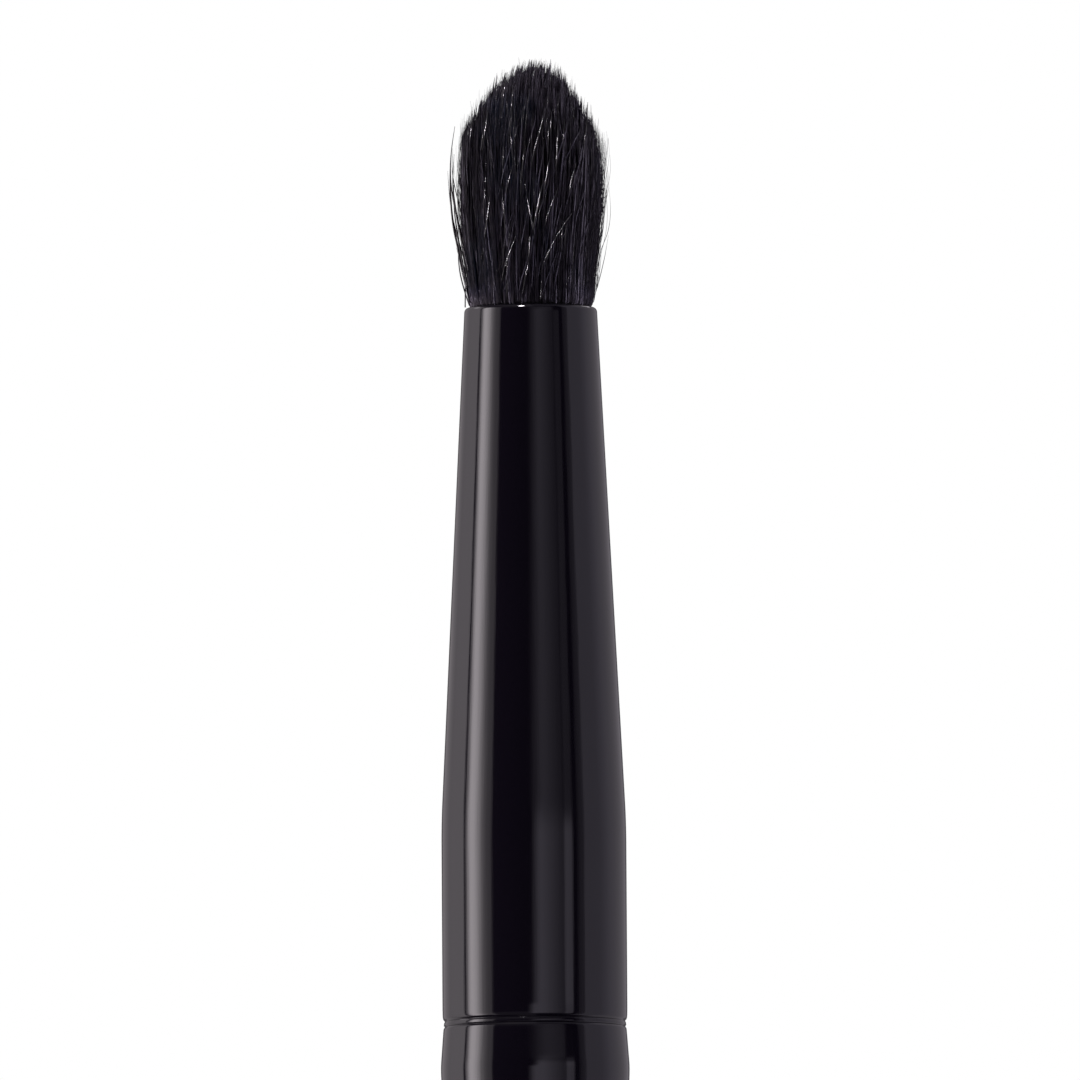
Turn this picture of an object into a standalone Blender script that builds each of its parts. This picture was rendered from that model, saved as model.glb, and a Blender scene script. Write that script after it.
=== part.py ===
"""Eyeliner and smudge brush: a domed hair tuft in a long tapered ferrule on a turned wooden handle.

The brush stands on its butt end: +Z runs along its axis from the handle to the hair tip, and the origin is the
centre of the handle's butt face. All driving dimensions are in millimetres and are turned into metres once, in mm().
"""

import math

import bmesh
import bpy

# ---------------------------------------------------------------- driving dimensions, in millimetres

SIDES = 40  # facets round each turned piece, a multiple of four so that the full radius lies on X and Y

HANDLE_LENGTH = 124.42  # butt face to the shoulder under the ferrule
SHOULDER_GAP = 0.08  # the fine dark line between the shoulder and the ferrule's hem
FERRULE_LENGTH = 32.70
TUFT_EXPOSED = 10.80  # ferrule lip to the hair tip
OVERALL_LENGTH = HANDLE_LENGTH + SHOULDER_GAP + FERRULE_LENGTH + TUFT_EXPOSED  # 168.00

# handle
BUTT_FLAT_R = 1.60
BUTT_EDGE_R = 1.05  # rounding between the butt face and the side
BUTT_SIDE_R = BUTT_FLAT_R + BUTT_EDGE_R
SHOULDER_R = 4.12
SHOULDER_EDGE = 0.10
CREST_R = 4.28
CREST_DROP = 2.00  # from the shoulder down to the handle's widest point
TENON_R = 3.60
TENON_LENGTH = 12.00
TENON_CHAMFER = 0.60
TENON_GROOVE_DEPTH = 0.14  # glue keys turned into the tenon
TENON_GROOVES = (3.4, 5.6, 7.8)  # heights above the shoulder

# ferrule, a drawn and tapered tube
FERRULE_BASE_R = 4.17
FERRULE_CYLINDER = 9.25  # length of the straight stretch above the hem
FERRULE_MOUTH_R = 2.985  # outside, where the cone runs into the lip
FERRULE_BORE_BASE_R = 3.82
FERRULE_BORE_MOUTH_R = 2.70
LIP_HEIGHT = 0.42
LIP_ROUND_OUT = 0.17
LIP_ROUND_IN = 0.09
HEM_R = 4.12
HEM_HEIGHT = 0.21
HEM_GROOVE_R = 4.065
HEM_GROOVE_HEIGHT = 0.07
HEM_EASE = 0.42  # height over which the wall draws in above the groove

# hair tuft
TUFT_MOUTH_R = 2.62  # squeezed by the lip
TUFT_ABOVE_LIP_R = 2.86
TUFT_BELLY_R = 3.37
TUFT_BELLY_HEIGHT = 6.90  # above the lip
TUFT_ROOT_DEPTH = 10.00
TUFT_WAIST_R = 2.20  # where the thread ties it
TUFT_ROOT_R = 2.46
TUFT_WAIST_DEPTH = 7.50

# binding thread round the root
THREAD_R = 0.15
THREAD_COIL_R = 2.42
THREAD_TURNS = 3
THREAD_PITCH = 0.36
THREAD_POINTS = 22  # for each turn

# cup of epoxy round the root
GLUE_TOP_DEPTH = 6.00
GLUE_FLOOR_DEPTH = 10.10
GLUE_BOTTOM_DEPTH = 12.10
GLUE_BORE_R = 2.68
GLUE_CLEARANCE = 0.07  # to the ferrule's bore

# film of adhesive between tenon and ferrule
SLEEVE_BOTTOM = 0.70  # above the ferrule's lower end
SLEEVE_TOP = 9.00
SLEEVE_IN_R = 3.66
SLEEVE_OUT_R = 3.76

JOINT_Z = HANDLE_LENGTH + SHOULDER_GAP  # the ferrule's lower end
LIP_Z = JOINT_Z + FERRULE_LENGTH  # the ferrule's mouth


def mm(value):
    return value / 1000.0


# ---------------------------------------------------------------- outline helpers


def quarter(centre_r, centre_z, size_r, size_z, start, end, steps):
    """Points along an ellipse's edge from one angle to the other, in degrees, both ends included."""
    points = []
    for i in range(steps + 1):
        angle = math.radians(start + (end - start) * i / steps)
        points.append((centre_r + size_r * math.cos(angle), centre_z + size_z * math.sin(angle)))
    return points


def eased(stations, z):
    """The radius at height z on a smooth line through the stations, which rise in z and never overshoot."""
    last = len(stations) - 1
    slopes = [(stations[i + 1][1] - stations[i][1]) / (stations[i + 1][0] - stations[i][0]) for i in range(last)]
    tangents = [slopes[0]]
    for before, after in zip(slopes, slopes[1:]):
        tangents.append(0.0 if before * after <= 0 else 2 * before * after / (before + after))
    tangents.append(slopes[-1])
    for i in range(last):
        (z0, r0), (z1, r1) = stations[i], stations[i + 1]
        if z <= z1 or i == last - 1:
            span = z1 - z0
            t = min(max((z - z0) / span, 0.0), 1.0)
            return (
                r0 * (2 * t**3 - 3 * t**2 + 1)
                + tangents[i] * span * (t**3 - 2 * t**2 + t)
                + r1 * (3 * t**2 - 2 * t**3)
                + tangents[i + 1] * span * (t**3 - t**2)
            )
    return stations[-1][1]


def sampled(stations, heights):
    return [(eased(stations, z), z) for z in heights]


def spread(low, high, steps):
    return [low + (high - low) * i / steps for i in range(steps + 1)]


# ---------------------------------------------------------------- scene helpers


def clear_scene():
    for obj in list(bpy.data.objects):
        bpy.data.objects.remove(obj, do_unlink=True)


def principled(name, colour, roughness, metallic=0.0, coat=0.0, sheen=0.0):
    material = bpy.data.materials.new(name)
    material.use_nodes = True
    shader = material.node_tree.nodes["Principled BSDF"]
    shader.inputs["Base Color"].default_value = (*colour, 1.0)
    shader.inputs["Roughness"].default_value = roughness
    shader.inputs["Metallic"].default_value = metallic
    shader.inputs["Coat Weight"].default_value = coat
    shader.inputs["Sheen Weight"].default_value = sheen
    material.diffuse_color = (*colour, 1.0)
    return material


def placed(obj, collection, axis, height, material):
    """Puts an object on the brush's axis at its height, with its own material."""
    obj.data.materials.append(material)
    obj.location = (0.0, 0.0, mm(height))
    obj.parent = axis
    collection.objects.link(obj)
    return obj


def turned(name, outline, closed, collection, axis, height, material):
    """A turned piece: its outline, as (radius, height) pairs, spun once round Z by a Screw modifier.

    The outline runs down the outer side. An open one starts and ends on the axis, a closed one is a ring's section.
    """
    mesh = bpy.data.meshes.new(name)
    shape = bmesh.new()
    corners = [shape.verts.new((mm(radius), 0.0, mm(z))) for radius, z in outline]
    for first, second in zip(corners, corners[1:]):
        shape.edges.new((first, second))
    if closed:
        shape.edges.new((corners[-1], corners[0]))
    shape.to_mesh(mesh)
    shape.free()
    obj = bpy.data.objects.new(name, mesh)
    screw = obj.modifiers.new("Turn", "SCREW")
    screw.axis = "Z"
    screw.angle = math.tau
    screw.steps = SIDES
    screw.render_steps = SIDES
    screw.use_merge_vertices = True
    screw.merge_threshold = 1e-6
    screw.use_smooth_shade = True
    return placed(obj, collection, axis, height, material)


# ---------------------------------------------------------------- the pieces


def handle_outline():
    """From the tenon's top, down over the shoulder, the crest and the taper to the butt face; heights from the butt face."""
    top = HANDLE_LENGTH + TENON_LENGTH
    outline = [(0.0, top), (TENON_R - TENON_CHAMFER, top), (TENON_R, top - TENON_CHAMFER)]
    for height in sorted(TENON_GROOVES, reverse=True):
        z = HANDLE_LENGTH + height
        outline += [
            (TENON_R, z + 0.35),
            (TENON_R - TENON_GROOVE_DEPTH, z + 0.15),
            (TENON_R - TENON_GROOVE_DEPTH, z - 0.15),
            (TENON_R, z - 0.35),
        ]
    outline += [(TENON_R, HANDLE_LENGTH)]
    outline += quarter(SHOULDER_R - SHOULDER_EDGE, HANDLE_LENGTH - SHOULDER_EDGE, SHOULDER_EDGE, SHOULDER_EDGE, 90, 0, 3)
    crest = HANDLE_LENGTH - CREST_DROP
    swell = [
        (BUTT_EDGE_R, BUTT_SIDE_R),
        (12.0, 2.71),
        (35.0, 2.90),
        (60.0, 3.17),
        (80.0, 3.41),
        (95.0, 3.61),
        (108.0, 3.81),
        (116.0, 3.99),
        (120.0, 4.155),
        (crest - 0.8, 4.238),
        (crest, CREST_R),
        (crest + 1.0, 4.199),
        (HANDLE_LENGTH - SHOULDER_EDGE, SHOULDER_R),
    ]
    heights = [HANDLE_LENGTH - 0.6, crest + 1.0, crest + 0.5, crest + 0.2, crest, crest - 0.3, crest - 0.8, 120.9, 120.0]
    heights += [118.0, 116.0, 112.0, 108.0, 101.5, 95.0, 87.5, 80.0, 70.0, 60.0, 47.5, 35.0, 23.5, 12.0]
    outline += sampled(swell, heights)
    outline += quarter(BUTT_FLAT_R, BUTT_EDGE_R, BUTT_EDGE_R, BUTT_EDGE_R, 0, -90, 5)
    outline += [(0.0, 0.0)]
    return outline


def ferrule_bore(height):
    """The bore's radius at a height above the ferrule's lower end."""
    top = FERRULE_LENGTH - LIP_ROUND_IN
    if height <= FERRULE_CYLINDER:
        return FERRULE_BORE_BASE_R
    share = (height - FERRULE_CYLINDER) / (top - FERRULE_CYLINDER)
    return FERRULE_BORE_BASE_R + (FERRULE_BORE_MOUTH_R - FERRULE_BORE_BASE_R) * share


def ferrule_outline():
    """The tube's section: lip, cone, straight stretch and hem down the outside, then up the bore."""
    length = FERRULE_LENGTH
    lip_low = length - LIP_HEIGHT
    outline = quarter(FERRULE_MOUTH_R - LIP_ROUND_OUT, lip_low, LIP_ROUND_OUT, LIP_HEIGHT, 90, 0, 4)
    # the cone turns into the straight stretch over a short easy bend
    bend = 1.0
    foot = FERRULE_CYLINDER
    slope = (FERRULE_BASE_R - FERRULE_MOUTH_R) / (lip_low - foot)
    for step in range(3):
        share = step / 2
        height = foot + bend * (1 - 2 * share)
        reach = (height - foot + bend) / (2 * bend)
        outline.append((FERRULE_BASE_R - slope * bend * reach**2, height))
    groove = HEM_HEIGHT + HEM_GROOVE_HEIGHT
    outline += [
        (FERRULE_BASE_R, groove + HEM_EASE),
        (FERRULE_BASE_R - 0.012, groove + HEM_EASE * 0.5),
        (HEM_R + 0.005, groove + 0.05),
        (HEM_GROOVE_R, groove - 0.01),
        (HEM_GROOVE_R, HEM_HEIGHT + 0.01),
        (HEM_R, HEM_HEIGHT - 0.04),
        (HEM_R, 0.05),
        (HEM_R - 0.05, 0.0),
    ]
    outline += [(FERRULE_BORE_BASE_R, 0.0), (FERRULE_BORE_BASE_R, FERRULE_CYLINDER)]
    outline += quarter(FERRULE_BORE_MOUTH_R + LIP_ROUND_IN, length - LIP_ROUND_IN, LIP_ROUND_IN, LIP_ROUND_IN, 180, 90, 2)[:2]
    return outline


def tuft_radius(height):
    """The tuft's outline above the lip: it swells to the belly, then closes in a soft dome."""
    if height <= TUFT_BELLY_HEIGHT:
        share = 1 - (1 - height / TUFT_BELLY_HEIGHT) ** 2.1
        return TUFT_ABOVE_LIP_R + (TUFT_BELLY_R - TUFT_ABOVE_LIP_R) * share
    t = (height - TUFT_BELLY_HEIGHT) / (TUFT_EXPOSED - TUFT_BELLY_HEIGHT)
    return TUFT_BELLY_R * (1 - t**1.15) ** 0.62


def tuft_outline():
    """From the hair tip down over the dome, in through the lip and down the tied root; heights from the lip."""
    dome = [1.0, 0.985, 0.95, 0.88, 0.78, 0.66, 0.52, 0.38, 0.24, 0.11]
    outline = []
    for t in dome:
        height = TUFT_BELLY_HEIGHT + (TUFT_EXPOSED - TUFT_BELLY_HEIGHT) * t
        outline.append((tuft_radius(height), height))
    outline[0] = (0.0, TUFT_EXPOSED)
    outline += [(tuft_radius(height), height) for height in (6.9, 5.4, 3.9, 2.5, 1.3, 0.45)]
    outline += [(TUFT_ABOVE_LIP_R - 0.07, 0.18), (TUFT_MOUTH_R, 0.0)]
    root = [
        (-TUFT_ROOT_DEPTH, TUFT_ROOT_R),
        (-TUFT_WAIST_DEPTH - 0.75, TUFT_WAIST_R),
        (-TUFT_WAIST_DEPTH + 0.75, TUFT_WAIST_R),
        (-TUFT_WAIST_DEPTH + 3.0, TUFT_MOUTH_R - 0.06),
        (0.0, TUFT_MOUTH_R),
    ]
    heights = [-3.0, -4.5, -5.6, -TUFT_WAIST_DEPTH + 0.75, -TUFT_WAIST_DEPTH - 0.75, -9.1, -TUFT_ROOT_DEPTH]
    outline += sampled(root, heights)
    outline += [(0.0, -TUFT_ROOT_DEPTH)]
    return outline


def glue_outline():
    """The epoxy cup's section, heights from the lip: across its floor, up its bore, and down its outside."""
    top = ferrule_bore(FERRULE_LENGTH - GLUE_TOP_DEPTH) - GLUE_CLEARANCE
    bottom = ferrule_bore(FERRULE_LENGTH - GLUE_BOTTOM_DEPTH) - GLUE_CLEARANCE
    return [
        (0.0, -GLUE_FLOOR_DEPTH),
        (GLUE_BORE_R - 0.1, -GLUE_FLOOR_DEPTH),
        (GLUE_BORE_R, -GLUE_FLOOR_DEPTH + 0.1),
        (GLUE_BORE_R, -GLUE_TOP_DEPTH),
        (top, -GLUE_TOP_DEPTH),
        (bottom, -GLUE_BOTTOM_DEPTH + 0.3),
        (bottom - 0.5, -GLUE_BOTTOM_DEPTH),
        (0.0, -GLUE_BOTTOM_DEPTH),
    ]


def sleeve_outline():
    """The adhesive film's section, heights from the ferrule's lower end."""
    return [
        (SLEEVE_OUT_R, SLEEVE_TOP - 0.4),
        (SLEEVE_OUT_R, SLEEVE_BOTTOM),
        (SLEEVE_IN_R, SLEEVE_BOTTOM),
        (SLEEVE_IN_R, SLEEVE_TOP),
        (SLEEVE_OUT_R - 0.04, SLEEVE_TOP),
    ]


def binding_thread(name, collection, axis, material):
    """A few close turns of thread round the tuft's waist, inside the ferrule."""
    curve = bpy.data.curves.new(name, "CURVE")
    curve.dimensions = "3D"
    curve.bevel_depth = mm(THREAD_R)
    curve.bevel_resolution = 2
    curve.use_fill_caps = True
    count = THREAD_TURNS * THREAD_POINTS + 1
    spline = curve.splines.new("POLY")
    spline.points.add(count - 1)
    for i, point in enumerate(spline.points):
        angle = math.tau * i / THREAD_POINTS
        rise = THREAD_PITCH * (i / THREAD_POINTS - THREAD_TURNS / 2)
        point.co = (mm(THREAD_COIL_R * math.cos(angle)), mm(THREAD_COIL_R * math.sin(angle)), mm(rise), 1.0)
    obj = bpy.data.objects.new(name, curve)
    return placed(obj, collection, axis, LIP_Z - TUFT_WAIST_DEPTH, material)


def main():
    clear_scene()
    collection = bpy.data.collections.new("eyeliner_brush")
    bpy.context.scene.collection.children.link(collection)
    axis = bpy.data.objects.new("brush_axis", None)
    axis.empty_display_size = 0.01
    collection.objects.link(axis)

    lacquered_wood = principled("black_lacquered_wood", (0.006, 0.005, 0.007), 0.10, coat=1.0)
    lacquered_tube = principled("black_lacquered_aluminium", (0.006, 0.006, 0.007), 0.08, metallic=0.3, coat=1.0)
    hair = principled("black_soft_hair", (0.010, 0.009, 0.013), 0.45, sheen=0.2)
    thread = principled("waxed_thread", (0.62, 0.58, 0.50), 0.70)
    epoxy = principled("amber_epoxy", (0.42, 0.24, 0.08), 0.25)
    adhesive = principled("milky_wood_adhesive", (0.70, 0.66, 0.55), 0.45)

    turned("handle", handle_outline(), False, collection, axis, 0.0, lacquered_wood)
    turned("tenon_glue_sleeve", sleeve_outline(), True, collection, axis, JOINT_Z, adhesive)
    turned("ferrule", ferrule_outline(), True, collection, axis, JOINT_Z, lacquered_tube)
    turned("tuft_glue_plug", glue_outline(), False, collection, axis, LIP_Z, epoxy)
    binding_thread("tuft_binding_thread", collection, axis, thread)
    turned("hair_tuft", tuft_outline(), False, collection, axis, LIP_Z, hair)


main()
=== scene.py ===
"""The looks of a round eyeliner and smudge brush: gloss black lacquer, a fine rolled lip and hem, and a tuft of hair.

Everything is in metres in the CAD model's own frame: +Z runs along the brush, from the butt face to the hair tip.
Most shapes here are worked out in millimetres and turned into metres once, where a mesh is made.
"""

import math

import bpy
import numpy as np
from mathutils import Matrix, Vector


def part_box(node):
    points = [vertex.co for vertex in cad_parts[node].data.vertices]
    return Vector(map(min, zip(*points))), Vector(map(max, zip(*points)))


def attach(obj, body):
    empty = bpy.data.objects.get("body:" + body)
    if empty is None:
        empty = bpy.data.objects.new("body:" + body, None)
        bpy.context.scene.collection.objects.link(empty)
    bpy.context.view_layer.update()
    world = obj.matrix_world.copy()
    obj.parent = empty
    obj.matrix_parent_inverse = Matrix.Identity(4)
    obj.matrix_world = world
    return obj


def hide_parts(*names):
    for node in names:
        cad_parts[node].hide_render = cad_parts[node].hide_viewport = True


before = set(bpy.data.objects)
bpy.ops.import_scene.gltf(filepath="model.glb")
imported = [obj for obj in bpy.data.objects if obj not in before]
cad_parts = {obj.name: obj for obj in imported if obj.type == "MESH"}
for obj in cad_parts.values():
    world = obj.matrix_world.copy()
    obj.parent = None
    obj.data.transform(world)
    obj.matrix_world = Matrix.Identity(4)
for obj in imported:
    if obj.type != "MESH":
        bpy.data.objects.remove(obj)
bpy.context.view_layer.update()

MM = 0.001
FERRULE_LOW, FERRULE_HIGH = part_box("ferrule")
HANDLE_LOW, HANDLE_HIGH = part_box("handle")
JOINT_Z = FERRULE_LOW.z / MM  # the ferrule's lower end, 124.5
LIP_Z = FERRULE_HIGH.z / MM  # its mouth, 157.2
TENON_TOP_Z = HANDLE_HIGH.z / MM
LACQUER = 0.03  # the visible coat stands this far outside the CAD surface
BASE_R = FERRULE_HIGH.x / MM + LACQUER  # the ferrule's straight stretch, 4.17 and the coat
CREST_R = HANDLE_HIGH.x / MM + 0.005  # the handle's widest point, 4.28 and a little coat
SHOULDER_Z = JOINT_Z - 0.04
CREST_Z = JOINT_Z - 2.08
WORLD_BODY = "root"

# ------------------------------------------------------------------------------------------------ node helpers


class Graph:
    """A short way to wire shader nodes."""

    def __init__(self, tree):
        self.tree = tree

    def node(self, kind, **settings):
        made = self.tree.nodes.new(kind)
        for key, value in settings.items():
            setattr(made, key, value)
        return made

    def put(self, value, socket):
        if isinstance(value, bpy.types.NodeSocket):
            self.tree.links.new(value, socket)
        else:
            socket.default_value = value

    def math(self, operation, first, second=None, third=None, clamp=False):
        made = self.node("ShaderNodeMath", operation=operation, use_clamp=clamp)
        for value, socket in zip((first, second, third), made.inputs):
            if value is not None:
                self.put(value, socket)
        return made.outputs[0]

    def total(self, values):
        result = values[0]
        for value in values[1:]:
            result = self.math("ADD", result, value)
        return result

    def product(self, values):
        result = values[0]
        for value in values[1:]:
            result = self.math("MULTIPLY", result, value)
        return result

    def rise(self, value, start, end, low=0.0, high=1.0):
        """Eases from low to high as value goes from start to end, and stays level outside that."""
        made = self.node("ShaderNodeMapRange", interpolation_type="SMOOTHSTEP")
        for name, x in (("Value", value), ("From Min", start), ("From Max", end), ("To Min", low), ("To Max", high)):
            self.put(x, made.inputs[name])
        return made.outputs[0]

    def line(self, value, start, end, low, high):
        """A straight ramp, level outside its ends."""
        made = self.node("ShaderNodeMapRange", interpolation_type="LINEAR", clamp=True)
        for name, x in (("Value", value), ("From Min", start), ("From Max", end), ("To Min", low), ("To Max", high)):
            self.put(x, made.inputs[name])
        return made.outputs[0]

    def noise(self, vector, scale, detail=2.0, roughness=0.5, distortion=0.0):
        made = self.node("ShaderNodeTexNoise")
        self.put(vector, made.inputs["Vector"])
        made.inputs["Scale"].default_value = scale
        made.inputs["Detail"].default_value = detail
        made.inputs["Roughness"].default_value = roughness
        made.inputs["Distortion"].default_value = distortion
        return made.outputs["Fac"]

    def stretched(self, scale):
        """Object coordinates, scaled differently along each axis."""
        place = self.node("ShaderNodeTexCoord")
        made = self.node("ShaderNodeMapping")
        self.put(place.outputs["Object"], made.inputs["Vector"])
        made.inputs["Scale"].default_value = scale
        return made.outputs["Vector"]

    def ramp(self, value, stops, interpolation="LINEAR"):
        made = self.node("ShaderNodeValToRGB")
        self.put(value, made.inputs["Fac"])
        made.color_ramp.interpolation = interpolation
        elements = made.color_ramp.elements
        while len(elements) < len(stops):
            elements.new(0.5)
        for element, (place, colour) in zip(elements, stops):
            element.position = place
            element.color = (*colour, 1.0)
        return made.outputs["Color"]

    def blend(self, share, first, second, mode="MIX"):
        made = self.node("ShaderNodeMix", data_type="RGBA", blend_type=mode)
        named = {(s.name, s.type): s for s in made.inputs if s.enabled}
        self.put(share, named[("Factor", "VALUE")])
        self.put(first if isinstance(first, bpy.types.NodeSocket) else (*first, 1.0), named[("A", "RGBA")])
        self.put(second if isinstance(second, bpy.types.NodeSocket) else (*second, 1.0), named[("B", "RGBA")])
        return next(s for s in made.outputs if s.enabled)

    def bump(self, height, strength, distance, normal=None):
        made = self.node("ShaderNodeBump")
        self.put(height, made.inputs["Height"])
        made.inputs["Strength"].default_value = strength
        made.inputs["Distance"].default_value = distance
        if normal is not None:
            self.put(normal, made.inputs["Normal"])
        return made.outputs["Normal"]


def new_material(name):
    material = bpy.data.materials.new(name)
    material.use_nodes = True
    shader = material.node_tree.nodes["Principled BSDF"]
    return material, Graph(material.node_tree), shader


# ------------------------------------------------------------------------------------------------ materials


def lacquer(name, tint, roughness, grain_scale, grain_strength):
    """Deep gloss black lacquer. Its only texture is a faint unevenness, drawn out along the brush, and a breath of haze."""
    material, g, shader = new_material(name)
    fine = g.noise(g.stretched(grain_scale), 1.0, 3.0, 0.55)
    broad = g.noise(g.stretched((160.0, 160.0, 40.0)), 1.0, 2.0, 0.5)
    g.put(g.ramp(broad, [(0.3, tuple(c * 0.92 for c in tint)), (0.7, tuple(c * 1.06 for c in tint))]), shader.inputs["Base Color"])
    g.put(g.line(fine, 0.3, 0.7, roughness * 0.85, roughness * 1.2), shader.inputs["Roughness"])
    shader.inputs["IOR"].default_value = 1.5
    shader.inputs["Specular IOR Level"].default_value = 0.5
    g.put(g.bump(fine, grain_strength, 0.00002), shader.inputs["Normal"])
    return material


def hair_material(name, roughness, shine, tint):
    """Black hair. Each strand lies in one of a few columns of its UV map, which sets its shade; V runs from root to
    tip. The base colour also carries painted light: a painted sheen near the roots and painted top light over the crown
    and tips.
    """
    material, g, shader = new_material(name)
    uv = g.node("ShaderNodeUVMap", uv_map="OFBake")
    parts = g.node("ShaderNodeSeparateXYZ")
    g.put(uv.outputs["UV"], parts.inputs[0])
    column = g.math("DIVIDE", g.math("FLOOR", g.math("MULTIPLY", parts.outputs["X"], float(HAIR_COLUMNS))), HAIR_COLUMNS - 1.0)
    along = parts.outputs["Y"]
    patches = g.noise(g.stretched((420.0, 420.0, 260.0)), 1.0, 2.0, 0.5, 0.4)
    violet = g.ramp(column, [(0.0, (0.0008, 0.0006, 0.0015)), (0.5, (0.0038, 0.0029, 0.0066)), (0.85, (0.0150, 0.0122, 0.0212)), (1.0, (0.042, 0.036, 0.054))])
    navy = g.ramp(column, [(0.0, (0.0005, 0.0014, 0.0038)), (0.5, (0.0024, 0.0070, 0.0165)), (0.85, (0.0085, 0.0185, 0.0370)), (1.0, (0.030, 0.048, 0.078))])
    shade = g.blend(g.product([g.rise(patches, 0.50, 0.62, 0.0, 0.85), g.rise(along, 0.09, 0.22), g.rise(along, 0.78, 0.92, 1.0, 0.4)]), violet, navy)
    place = g.node("ShaderNodeTexCoord")
    across = g.node("ShaderNodeSeparateXYZ")
    g.put(place.outputs["Object"], across.inputs[0])
    # painted sheen: near the roots (low V) the base colour turns a neutral grey and is raised several times over, for
    # the sheen the side lights lay on the roots
    low = g.rise(along, 0.08, 0.165, 1.0, 0.0)
    painted_root_sheen_grey = g.ramp(column, [(0.0, (0.0034, 0.0031, 0.0036)), (0.5, (0.0054, 0.0049, 0.0058)), (0.85, (0.0092, 0.0084, 0.0099)), (1.0, (0.013, 0.012, 0.014))])
    shade = g.blend(low, shade, painted_root_sheen_grey)
    # painted top light: over the crown (above about 8.4 mm over the lip) the base colour turns grey and is raised
    # several times, for the light falling on the tips from above and through them
    crown = g.rise(across.outputs["Z"], (LIP_Z + 8.4) * MM, (LIP_Z + 10.0) * MM)
    painted_top_light_grey = g.ramp(column, [(0.0, (0.0013, 0.0011, 0.0014)), (0.5, (0.0046, 0.0040, 0.0050)), (0.85, (0.0165, 0.0146, 0.0172)), (1.0, (0.043, 0.039, 0.045))])
    shade = g.blend(g.math("MULTIPLY", crown, 0.9), shade, painted_top_light_grey)
    # painted sheen: the roots' lift grows from the middle out to the tuft's left and right sides, where the flank light
    # falls
    side = g.rise(g.math("ABSOLUTE", across.outputs["X"]), 0.0013, 0.0026, 2.0, 17.0)
    # the lift towards the tips is partly the hair's own lighter ends and partly painted top light; with the painted
    # root sheen and crown terms it scales the base colour
    tip = g.total([g.rise(along, 0.55, 1.0, 1.0, 1.7), g.math("MULTIPLY", low, side), g.rise(along, 0.80, 0.92, 0.0, 3.0), g.math("MULTIPLY", crown, 4.5)])
    mix = g.node("ShaderNodeVectorMath", operation="SCALE")
    g.put(shade, mix.inputs[0])
    g.put(tip, mix.inputs["Scale"])
    g.put(mix.outputs["Vector"], shader.inputs["Base Color"])
    g.put(g.line(column, 0.0, 1.0, roughness * 1.2, roughness * 0.85), shader.inputs["Roughness"])
    shader.inputs["IOR"].default_value = 1.55
    shader.inputs["Specular IOR Level"].default_value = shine
    shader.inputs["Specular Tint"].default_value = (*tint, 1.0)
    return material


def core_material():
    """The shade between the hairs, deep in the bundle."""
    material, g, shader = new_material("hair_depth")
    streaks = g.noise(g.stretched((14000.0, 14000.0, 900.0)), 1.0, 2.0, 0.6)
    g.put(g.ramp(streaks, [(0.35, (0.0010, 0.0008, 0.0016)), (0.7, (0.0028, 0.0024, 0.0042))]), shader.inputs["Base Color"])
    shader.inputs["Roughness"].default_value = 0.8
    shader.inputs["Specular IOR Level"].default_value = 0.1
    g.put(g.bump(streaks, 0.6, 0.00004), shader.inputs["Normal"])
    return material


def bare_wood():
    """Close-grained pale wood, as left under the lacquer on the tenon."""
    material, g, shader = new_material("bare_birch")
    rings = g.node("ShaderNodeTexWave", wave_type="BANDS", bands_direction="X")
    g.put(g.stretched((900.0, 900.0, 40.0)), rings.inputs["Vector"])
    rings.inputs["Scale"].default_value = 1.0
    rings.inputs["Distortion"].default_value = 5.0
    rings.inputs["Detail"].default_value = 3.0
    pores = g.noise(g.stretched((6000.0, 6000.0, 500.0)), 1.0, 3.0, 0.6)
    grain = g.math("ADD", g.math("MULTIPLY", rings.outputs["Fac"], 0.55), g.math("MULTIPLY", pores, 0.45))
    g.put(g.ramp(grain, [(0.2, (0.50, 0.34, 0.19)), (0.55, (0.64, 0.47, 0.29)), (0.85, (0.72, 0.56, 0.37))]), shader.inputs["Base Color"])
    g.put(g.line(pores, 0.3, 0.7, 0.55, 0.75), shader.inputs["Roughness"])
    g.put(g.bump(pores, 0.5, 0.00004), shader.inputs["Normal"])
    return material


def bare_metal():
    """The ferrule's unlacquered bore: drawn aluminium with fine lengthwise lines."""
    material, g, shader = new_material("drawn_aluminium_bore")
    lines = g.noise(g.stretched((16000.0, 16000.0, 300.0)), 1.0, 3.0, 0.6)
    g.put(g.ramp(lines, [(0.3, (0.42, 0.42, 0.43)), (0.7, (0.62, 0.62, 0.63))]), shader.inputs["Base Color"])
    shader.inputs["Metallic"].default_value = 1.0
    g.put(g.line(lines, 0.3, 0.7, 0.32, 0.5), shader.inputs["Roughness"])
    g.put(g.bump(lines, 0.4, 0.00001), shader.inputs["Normal"])
    return material


def thread_material():
    material, g, shader = new_material("waxed_thread")
    twist = g.node("ShaderNodeTexWave", wave_type="BANDS", bands_direction="DIAGONAL")
    g.put(g.stretched((5200.0, 5200.0, 9000.0)), twist.inputs["Vector"])
    twist.inputs["Scale"].default_value = 1.0
    twist.inputs["Distortion"].default_value = 1.5
    fuzz = g.noise(g.stretched((30000.0, 30000.0, 30000.0)), 1.0, 3.0, 0.6)
    body = g.math("ADD", g.math("MULTIPLY", twist.outputs["Fac"], 0.7), g.math("MULTIPLY", fuzz, 0.3))
    g.put(g.ramp(body, [(0.15, (0.36, 0.32, 0.25)), (0.6, (0.62, 0.58, 0.50)), (0.95, (0.74, 0.70, 0.62))]), shader.inputs["Base Color"])
    g.put(g.line(fuzz, 0.3, 0.7, 0.55, 0.8), shader.inputs["Roughness"])
    g.put(g.bump(body, 0.8, 0.00004), shader.inputs["Normal"])
    return material


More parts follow.
